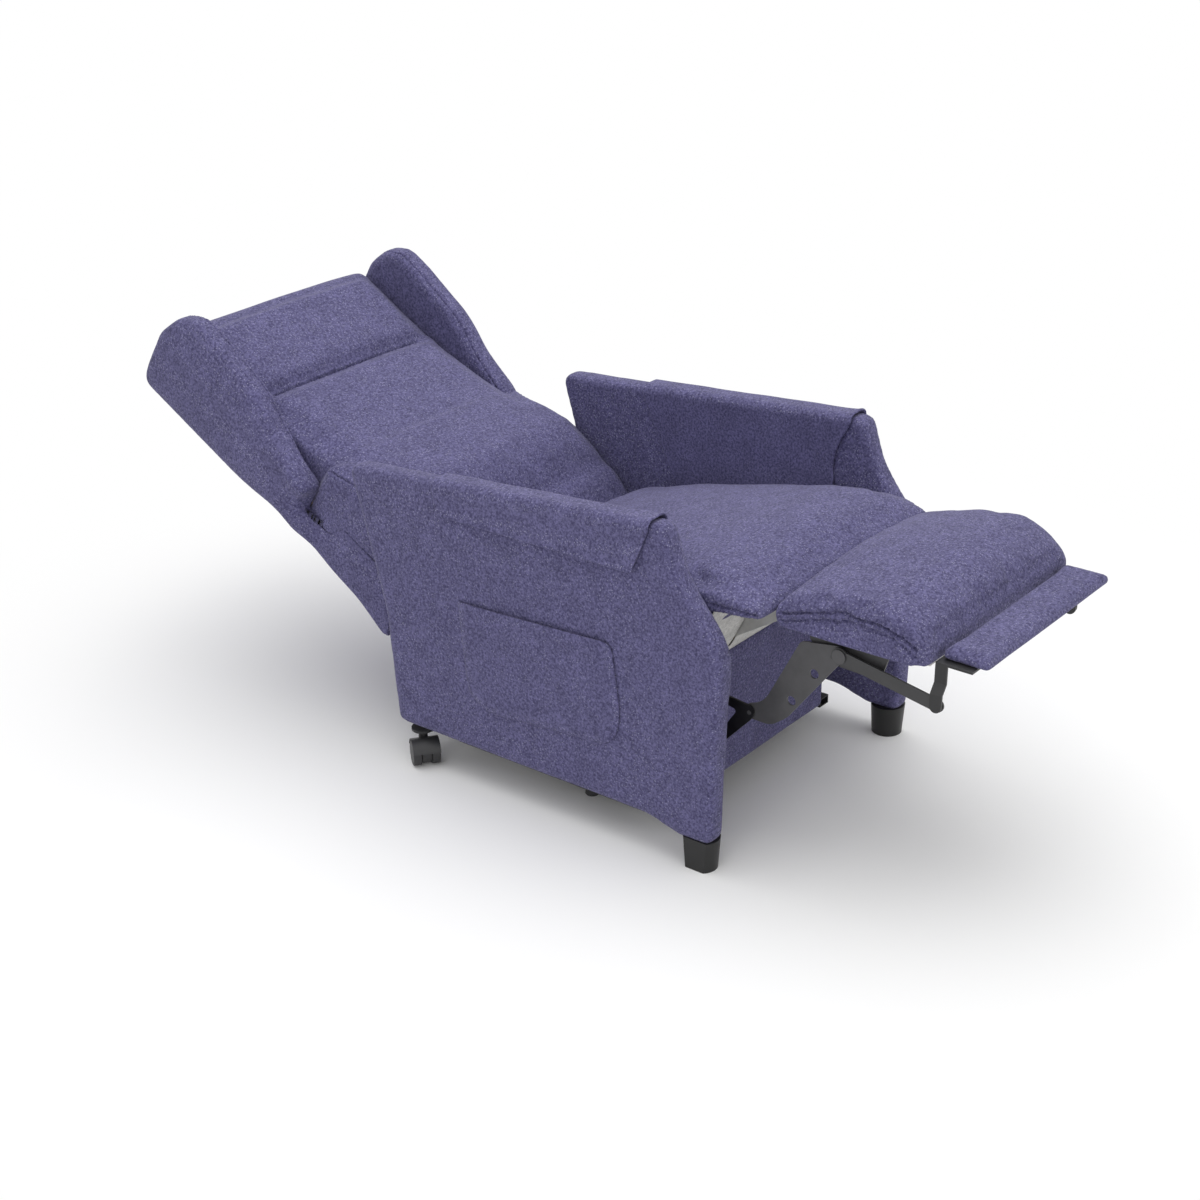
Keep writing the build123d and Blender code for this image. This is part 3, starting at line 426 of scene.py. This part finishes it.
# -------------------------------------------------------------------------------------------------
# Arm covers. A loose saddle of the same felt over each arm, hemmed all round; its outer flap hangs
# free, its inner flap is tucked down beside the seat, and the front hem stands a little open.
ARM_TOP, ARM_FRONT, ARM_REAR = 649.4, 74.0, 798.0
ARM_FALL = (588.0 - 646.0) / (ARM_REAR - ARM_FRONT)
ARM_IN, ARM_OUT = 296.0, 344.0
BEND, CLEAR = 14.4, 3.4
ARC, FLAT = BEND * math.pi / 2, ARM_OUT - ARM_IN + 2 * CLEAR - 2 * BEND
OUTER_DROP, INNER_DROP = 81, 133
HEM = 9
for side, sign in (("right", -1), ("left", 1)):
    bm = bmesh.new()
    bmesh.ops.create_grid(bm, x_segments=76, y_segments=100, size=0.5)
    for v in bm.verts:
        u, w = v.co.x + 0.5, v.co.y + 0.5
        drop_out, drop_in = OUTER_DROP - 31 * w, INNER_DROP + 76 * w
        run = u * (drop_out + drop_in + 2 * ARC + FLAT)
        hang, tuck = max(0.0, drop_out - run), max(0.0, run - drop_out - 2 * ARC - FLAT)
        front = 100 + 32 * min(1.0, hang / OUTER_DROP) + 34 * math.sin(min(1.0, tuck / 110) * 1.9)
        rear = 590 - 0.25 * hang - 0.45 * tuck
        y = front + (rear - front) * w
        top = ARM_TOP + ARM_FALL * (y - ARM_FRONT)
        bend_out = min(max(run - drop_out, 0.0), ARC) / BEND
        bend_in = min(max(run - drop_out - ARC - FLAT, 0.0), ARC) / BEND
        corner = bend_out + bend_in
        out = Vector((math.cos(corner), 0, math.sin(corner)))
        middle = ARM_OUT + CLEAR - BEND - min(max(run - drop_out - ARC, 0.0), FLAT)
        at = Vector((middle, y, top - BEND - hang - tuck)) + out * BEND
        hem = max(0.0, 1 - (y - front) / HEM, 1 - run / HEM)
        open_front = max(0.0, 1 - (y - front) / 40) ** 2
        loose = 7.0 * (hang / OUTER_DROP) ** 1.5 + 0.8 * noise.noise(Vector((u * 6, y / 60, 1.7)))
        at += out * (1.5 * min(1.0, 2 * hem) + 2.2 * open_front * math.sin(corner) + loose)
        v.co = spot(sign * at.x, at.y, at.z)
    bmesh.ops.recalc_face_normals(bm, faces=bm.faces)
    cover = show(f"arm_cover_{side}_felt", bm, felt)
    for kind in ("SOLIDIFY", "SUBSURF"):
        cover.modifiers.new(kind.lower(), kind)
    cover.modifiers["solidify"].thickness = 0.0045
    cover.modifiers["solidify"].offset = 0
    cover.modifiers["subsurf"].levels = 1
    cover.modifiers["subsurf"].render_levels = 1
    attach(cover, "chassis")
    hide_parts(f"arm_cover_{side}")

# -------------------------------------------------------------------------------------------------
# Side pocket. A flat piece of the felt sewn to the right arm round its sides and foot, its top hemmed
# and left open for a handset or a paper.
SEWN, FULLNESS, EASE = 0.0019, 0.0044, 0.012
corners = ((537, 383, 4), (182, 401, 24), (161, 257, 30), (180, 196, 38), (336, 184, 60),
           (474, 170, 40), (520, 200, 38))
bm = bmesh.new()
edge = [bm.verts.new(spot(-ARM_OUT, y, z)) for y, z, r in corners]
bm.faces.new(edge)
for v, (y, z, r) in zip(edge, corners):
    bmesh.ops.bevel(bm, geom=[v], offset=r / 1000 * 0.8, segments=6, profile=0.5,
                    affect="VERTICES", material=-1)
straight = [e for e in bm.edges if e.calc_length() > 0.03]
bmesh.ops.subdivide_edges(bm, edges=straight, cuts=8)
middle = max(bm.faces, key=lambda f: len(f.verts))
heart = middle.calc_center_median()
for ratio in (0.985, 0.985, 0.97, 0.94, 0.9, 0.8, 0.6):
    bmesh.ops.inset_individual(bm, faces=[middle], thickness=0.0)
    for v in middle.verts:
        v.co = heart + (v.co - heart) * ratio
seam = [spot(-ARM_OUT, y, z) for y, z, r in corners[1:] + corners[:1]]
for v in bm.verts:
    gap = 1.0
    for a, b in zip(seam, seam[1:]):
        t = min(1.0, max(0.0, (v.co - a).dot(b - a) / (b - a).length_squared))
        gap = min(gap, (v.co - a.lerp(b, t)).length)
    v.co.x -= SEWN + FULLNESS * (1 - math.exp(-gap / EASE))
bmesh.ops.recalc_face_normals(bm, faces=bm.faces)
pocket = show("side_pocket_felt", bm, felt)
pocket.modifiers.new("solidify", "SOLIDIFY").thickness = 0.0022
pocket.modifiers["solidify"].offset = 0
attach(pocket, "chassis")
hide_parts("side_pocket")

# -------------------------------------------------------------------------------------------------
# Front panel. A board with thin wadding under the felt, fixed to the front rail between the two sides
# of the linkage.
panel = stuffed("front_panel_felt", "front_panel", felt, 0.005, 4)
ripple(panel, 0.14, 0.001, 9.0)
fitted(panel, "chassis", "felt", 0.9, "front_panel")

# -------------------------------------------------------------------------------------------------
# Lining. White non-woven cloth stapled from the front panel up to the seat's lip, slit where the
# hinge arms pass through.
LINING_WIDTH = 0.570
SLIT_X, SLIT_Z = (0.1105, 0.1225), (0.332, 0.478)
white_cloth = cloth_paint("lining", (0.50, 0.49, 0.47), (0.68, 0.67, 0.65), (0.74, 0.74, 0.73),
                          0.3, 0.0)
bm = bmesh.new()
bmesh.ops.create_grid(bm, x_segments=114, y_segments=24, size=0.5)
foot, head = spot(0, 99, 316), spot(0, 6, 487)
drop = (head - foot).normalized()
face = Vector((0, -drop.z, drop.y))
for v in bm.verts:
    u, w = v.co.x, v.co.y + 0.5
    sag = math.sin(math.pi * w) * (0.3 + noise.noise(Vector((u * 9, w * 2, 6.0)))) * 0.002
    v.co = foot.lerp(head, w) + Vector((u * LINING_WIDTH, 0, 0)) + face * sag
slits = []
for f in bm.faces:
    middle = f.calc_center_median()
    if SLIT_X[0] < abs(middle.x) < SLIT_X[1] and SLIT_Z[0] < middle.z < SLIT_Z[1]:
        slits.append(f)
bmesh.ops.delete(bm, geom=slits, context="FACES")
lining = show("seat_lining_cloth", bm, white_cloth)
lining.modifiers.new("solidify", "SOLIDIFY").thickness = 0.0012
lining.modifiers["solidify"].offset = 0
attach(lining, "chassis")
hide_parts("seat_lining")

# -------------------------------------------------------------------------------------------------
# Seat cushion. Foam over the springs in one felt cover, crowned across and thinned to a lip over the
# front, where a gathered seam closes its sides.
FRAMES = 20
SEAT_FALL = 0.2685


def swell(obj, cap, hold, start=0.005, pressure=4.0):
    """Blows a padded skin up as cloth, within a cap and only where it is free to."""
    rest = places(obj.data)
    free = np.array([hold(*(p * 1000 - (0, FEET_Y * 1000, 0))) for p in rest])
    small = rest - outward(obj.data) * (start * free)[:, None]
    put(obj.data, small)
    cloth = obj.modifiers.new("cloth", "CLOTH")
    cloth.settings.quality = 4
    cloth.settings.mass = 0.3
    cloth.settings.tension_stiffness = 15
    cloth.settings.compression_stiffness = 15
    cloth.settings.shear_stiffness = 5
    cloth.settings.bending_stiffness = 0.5
    cloth.settings.use_pressure = True
    cloth.settings.uniform_pressure_force = pressure
    cloth.settings.effector_weights.gravity = 0
    cloth.point_cache.frame_start = 1
    cloth.point_cache.frame_end = FRAMES
    for number in range(1, FRAMES + 1):
        scene.frame_set(number)
    blown = obj.evaluated_get(bpy.context.evaluated_depsgraph_get()).to_mesh()
    move = places(blown) - small
    obj.modifiers.remove(cloth)
    scene.frame_set(1)
    far = np.maximum(np.linalg.norm(move, axis=1), 1e-9)
    put(obj.data, small + move * (np.minimum(1, cap / far) * free)[:, None])


def refine(obj):
    """One round of subdivision, put into the mesh."""
    obj.modifiers.new("refine", "SUBSURF").levels = 1
    bake(obj)
    obj.data.shade_smooth()


def laid_on(obj, line, count):
    """A line of places, spread evenly and laid on a piece's surface."""
    lengths = [0.0]
    for a, b in zip(line, line[1:]):
        lengths.append(lengths[-1] + (b - a).length)
    laid = []
    for i in range(count):
        at = lengths[-1] * i / (count - 1)
        k = max(j for j in range(len(line) - 1) if lengths[j] <= at + 1e-9)
        t = (at - lengths[k]) / (lengths[k + 1] - lengths[k])
        found, place, way, index = obj.closest_point_on_mesh(line[k].lerp(line[k + 1], t))
        laid.append((place, way))
    return laid


def beside(co, laid):
    """How far each place lies from a laid line, and how far along it."""
    near, along = np.full(len(co), 1.0), np.zeros(len(co))
    for i, ((a, n), (b, m)) in enumerate(zip(laid, laid[1:])):
        p, q = np.array(a), np.array(b)
        span = q - p
        t = np.clip((co - p) @ span / max(span @ span, 1e-12), 0, 1)
        d = np.linalg.norm(co - p - t[:, None] * span, axis=1)
        along = np.where(d < near, i + t, along)
        near = np.minimum(near, d)
    return near, along


def sew(obj, line, width, depth, pucker=0.0, count=60):
    """Draws a seam into a padded piece along a line, with finer mesh and gathers beside it."""
    laid = laid_on(obj, line, count)
    for finer in range(2):
        near, along = beside(places(obj.data), laid)
        bm = bmesh.new()
        bm.from_mesh(obj.data)
        close = [e for e in bm.edges if max(near[v.index] for v in e.verts) < 4 * width]
        coarse = [e for e in close if e.calc_length() > 0.7 * width]
        bmesh.ops.subdivide_edges(bm, edges=coarse, cuts=1, use_grid_fill=True)
        bm.to_mesh(obj.data)
        bm.free()
    co, way = places(obj.data), outward(obj.data)
    near, along = beside(co, laid)
    ends = np.clip(np.minimum(along, count - 1 - along) / 3, 0, 1)
    dip = depth * np.exp(-(near / width) ** 2)
    fold = np.sin(along * 2.1 + 2.0 * np.sin(along * 0.7)) * np.exp(-(near / (4 * width)) ** 2)
    put(obj.data, co - way * ((dip - pucker * fold) * ends)[:, None])


def seat_free(x, y, z):
    """How free the seat's cover is: held below, beside the arms and at the hinge line."""
    under = 430 - SEAT_FALL * (y - 40) if y > 24 else 488
    top = ramp01(z, under + 14, under + 46) if y > 30 else ramp01(z, under + 3, under + 18)
    side = 1 - 0.9 * ramp01(abs(x), 268, 288)
    return top * side * ramp01(y, -84, -40) * (1 - ramp01(y, 560, 590))


seat = stuffed("seat_felt", "seat_cushion", felt, 0.0075, 3)
swell(seat, 0.016, seat_free)
refine(seat)
for sign in (-1, 1):
    line = [spot(sign * 290, y, z) for y, z in ((18, 500), (-10, 501), (-40, 502), (-84, 499))]
    sew(seat, line, 0.0028, 0.007, 0.0022)
ripple(seat, 0.11, 0.0014, 1.0)
fitted(seat, "chassis", "felt", 0.8, "seat_cushion")

# -------------------------------------------------------------------------------------------------
# Back cushion. A full lumbar roll, a waist and a head part in one felt cover over fibre, drawn in by
# a stitched line below the head. On the back, s runs along it and n out of it, from its pivot.
SLOPE = math.radians(30.6)
PIVOT_Y, PIVOT_Z = 710, 320
PLATE_X = 249
SEAM_S = 508


def lean(x, s, n):
    """A place on the back, in millimetres along it and out of it from its pivot."""
    y = PIVOT_Y + s * math.cos(SLOPE) - n * math.sin(SLOPE)
    return spot(x, y, PIVOT_Z + s * math.sin(SLOPE) + n * math.cos(SLOPE))


def on_back(y, z):
    """Lengths along and out of the back of a place in millimetres from the feet."""
    y, z = y - PIVOT_Y, z - PIVOT_Z
    return y * math.cos(SLOPE) + z * math.sin(SLOPE), z * math.cos(SLOPE) - y * math.sin(SLOPE)


def from_feet(x, s, n):
    """A place on the back, in millimetres from the feet."""
    x, y, z = lean(x, s, n) * 1000
    return x, y - FEET_Y * 1000, z


def filled_behind(s, n):
    """How far the back's rear is pushed out behind the head, and drawn in at its foot."""
    head = 12 * ramp01(-n, 20, 58) * ramp01(s, 300, 460)
    return head - 7 * ramp01(-n, 60, 90) * (1 - ramp01(s, 60, 200))


def long_head(x, y, z, more=38):
    """The back as it is covered: longer at the head and fuller at the lumbar roll, with its sides
    drawn down behind the wings and its slits open for the side plates."""
    s, n = on_back(y, z)
    off = abs(x) - PLATE_X
    slit = (1 - ramp01(abs(off), 7, 16)) * (1 - ramp01(s, 30, 70))
    slit = slit * ramp01(n, -40, -20) * (1 - ramp01(n, 80, 104))
    x += math.copysign(3 * slit, x * off)
    fuller = 8 * ramp01(s, -50, 12) * (1 - ramp01(s, 30, 92)) * ramp01(n, 55, 100) + 9 * slit
    behind = filled_behind(s, n)
    tucked = 16 * ramp01(abs(x), 262, 274) * ramp01(s, 262, 298) * (1 - ramp01(s, 308, 330))
    drawn = 40 * ramp01(abs(x), 252, 268) * (1 - ramp01(n, 25, 75))
    drawn = drawn * ramp01(s, 120, 160) * (1 - ramp01(s, 294, 306))
    s += tucked + 9 * slit + more * ramp01(s, 380, 712)
    return from_feet(x, s, n + fuller - behind - drawn * (n > -20))


def back_free(x, y, z):
    """How free the back's cover is: held on its frame, beside the wings and in its stitched line."""
    s, n = on_back(y, z)
    edge = 264 if s > 270 else 288
    side = 1 - 0.92 * ramp01(abs(x), edge - 24, edge)
    seam = ramp01(abs(s - SEAM_S), 4, 26)
    return ramp01(n, 12, 44) * side * seam * ramp01(s, 0, 110) * (1 - ramp01(s, 690, 712))


cushion = stuffed("back_felt", "back_cushion", felt, 0.0075, 3)
eased(cushion, long_head)
swell(cushion, 0.02, back_free)
refine(cushion)
sew(cushion, [lean(x, SEAM_S, 40) for x in (-216, -110, 0, 110, 216)], 0.0024, 0.009, 0.0006, 90)
border = ((296, 76), (240, 94), (180, 112), (120, 122), (60, 118))
for sign in (-1, 1):
    sew(cushion, [lean(sign * 284, s, n) for s, n in border], 0.0024, 0.005, 0.0008, 60)
ripple(cushion, 0.12, 0.0016, 5.0)
fitted(cushion, "back", "felt", 0.7, "back_cushion")

# -------------------------------------------------------------------------------------------------
# Wings. Thick pads bolted to the sides of the back, each with a seam near its inner rim and a row of
# top stitching beside it; the outer face runs on down as the side of the back.
THREAD_R = 0.0006
SIDE_X = 291
thread = principled("thread", (0.10, 0.09, 0.20), 0.7)[0]


def stitch(name, obj, line, count, body):
    """A row of raised stitches along a line on a padded piece."""
    laid = laid_on(obj, line, count)
    bm = bmesh.new()
    for (a, n), (b, m) in zip(laid[::2], laid[1::2]):
        span = b - a
        made = bmesh.ops.create_cone(bm, cap_ends=True, segments=6, radius1=THREAD_R,
                                     radius2=THREAD_R, depth=span.length * 0.9)
        turn = span.to_track_quat("Z", "Y").to_matrix().to_4x4()
        lie = Matrix.Translation((a + b) / 2 + n * 0.0001) @ turn
        bmesh.ops.transform(bm, matrix=lie, verts=made["verts"])
    row = show(name, bm, thread)
    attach(row, body)


def wing_form(x, y, z):
    """A wing as it is covered: rounded at its rim, curled off the cushion below, and thinning to the
    back's side behind the arm."""
    s, n = on_back(y, z)
    far = abs(x)
    far += 11 * ramp01(n, 15, 60) * (1 - ramp01(s, 330, 430)) * (1 - ramp01(far, 270, 325))
    far += 4 * ramp01(s, 300, 420) * ramp01(far, 300, 335) * (1 - ramp01(n, -20, 60))
    far -= 13 * ramp01(n, 50, 140) * ramp01(far, 300, 335)
    low, side = 1 - ramp01(s, 190, 225), 1 - ramp01(s, 225, 345)
    thinned = (0.92 + 0.06 * ramp01(n, -60, -24)) * side * (1 - ramp01(n, -10, 30))
    far -= max(0.0, far - SIDE_X) * thinned
    n -= 14 * ramp01(n, 30, 140)
    n += (38 * low - 12 * side) * ramp01(n, -60, -24) * (1 - ramp01(n, -20, 0))
    n -= 20 * ramp01(n, 15, 85) * (1 - ramp01(s, 400, 500))
    s += 22 * ramp01(s, 380, 712)
    return from_feet(math.copysign(far, x), s, n - filled_behind(s, n))


rim = ((302, 34), (332, 50), (374, 65), (442, 97), (524, 119), (612, 131), (672, 133), (708, 110),
       (728, 62))
for side, sign in (("right", -1), ("left", 1)):
    wing = stuffed(f"wing_{side}_felt", f"wing_{side}", felt, 0.006, 11)
    eased(wing, wing_form)
    soften(wing, 3)
    refine(wing)
    sew(wing, [lean(sign * 280, s, n) for s, n in rim], 0.002, 0.0042, 0.0007, 160)
    fitted(wing, "back", "felt", 0.75, f"wing_{side}")
    stitch(f"wing_{side}_stitches", wing, [lean(sign * 286, s, n) for s, n in rim], 170, "back")

# -------------------------------------------------------------------------------------------------
# Rear cover. Felt over thin board, closing the back behind: a swept lower shell with side walls, a
# step and a flat upper panel that turns over the top.


def rear_form(x, y, z):
    """The rear cover as fixed: as long as the head, its upper panel tucked in beside the wings."""
    s, n = on_back(y, z)
    wider = 9 * ramp01(s, 236, 266) + 7 * ramp01(s, 640, 690)
    far = abs(x) + ramp01(abs(x), 232, 262) * wider
    return long_head(math.copysign(far, x), y, z, 32)


rear = stuffed("rear_cover_felt", "rear_cover", felt, 0.0042, 3)
eased(rear, rear_form)
ripple(rear, 0.15, 0.0006, 7.0)
fitted(rear, "back", "felt", 0.9, "rear_cover")

# -------------------------------------------------------------------------------------------------
# Leg-rest pad. A crowned pad over its board in the seat's felt, its top drawn over a border along
# each side by two wavy seams; the board below is wrapped in the white lining.


def pad_form(x, y, z):
    """The pad as it is covered: full at its front corners, which stand a little over the flap."""
    front, top = ramp01(-y, 130, 300), ramp01(z, 482, 512)
    far = abs(x) + 8 * ramp01(abs(x), 150, 250) * ramp01(-y, 140, 330) * top
    y += 4 * ramp01(y, -115, -93) * top - 8 * ramp01(-y, 310, 391) * ramp01(z, 512, 528)
    return math.copysign(far, x), y, z + (15 - 10 * ramp01(-y, 315, 395)) * front * top


def pad_free(x, y, z):
    """How free the pad's cover is: held at its underside."""
    return ramp01(z, 478, 506) * ramp01(y, -398, -376) * (1 - ramp01(y, -106, -90))


pad = stuffed("legrest_felt", "legrest_pad", felt, 0.006, 7)
eased(pad, pad_form)
swell(pad, 0.011, pad_free, 0.004)
refine(pad)
wave = ((-94, 503), (-143, 515), (-190, 526), (-241, 535), (-300, 534), (-340, 524), (-374, 506))
for sign in (-1, 1):
    for lower, depth in ((0, 0.007), (15, 0.005)):
        sew(pad, [spot(sign * 260, y, z - lower) for y, z in wave], 0.0024, depth, 0.0016, 90)
ripple(pad, 0.1, 0.0012, 2.0)
fitted(pad, "legrest", "felt", 0.8, "legrest_pad")
dress(white_cloth, "legrest_board")

# -------------------------------------------------------------------------------------------------
# Flap. A thin board wrapped in wadding and felt, hung on straps at the leg-rest's end; its top lies
# a little below the pad's front corners.


def flap_form(x, y, z):
    """The flap as it is covered: its wadding pressed a little flatter on top."""
    return x, y, z - 4 * ramp01(z, 500, 514)


def flap_free(x, y, z):
    """How free the flap's cover is: held at its underside."""
    return ramp01(z, 492, 507)


flap = stuffed("flap_felt", "flap_pad", felt, 0.0045, 3)
eased(flap, flap_form)
swell(flap, 0.004, flap_free, 0.002)
ripple(flap, 0.09, 0.0006, 8.0)
fitted(flap, "flap", "felt", 0.85, "flap_pad")
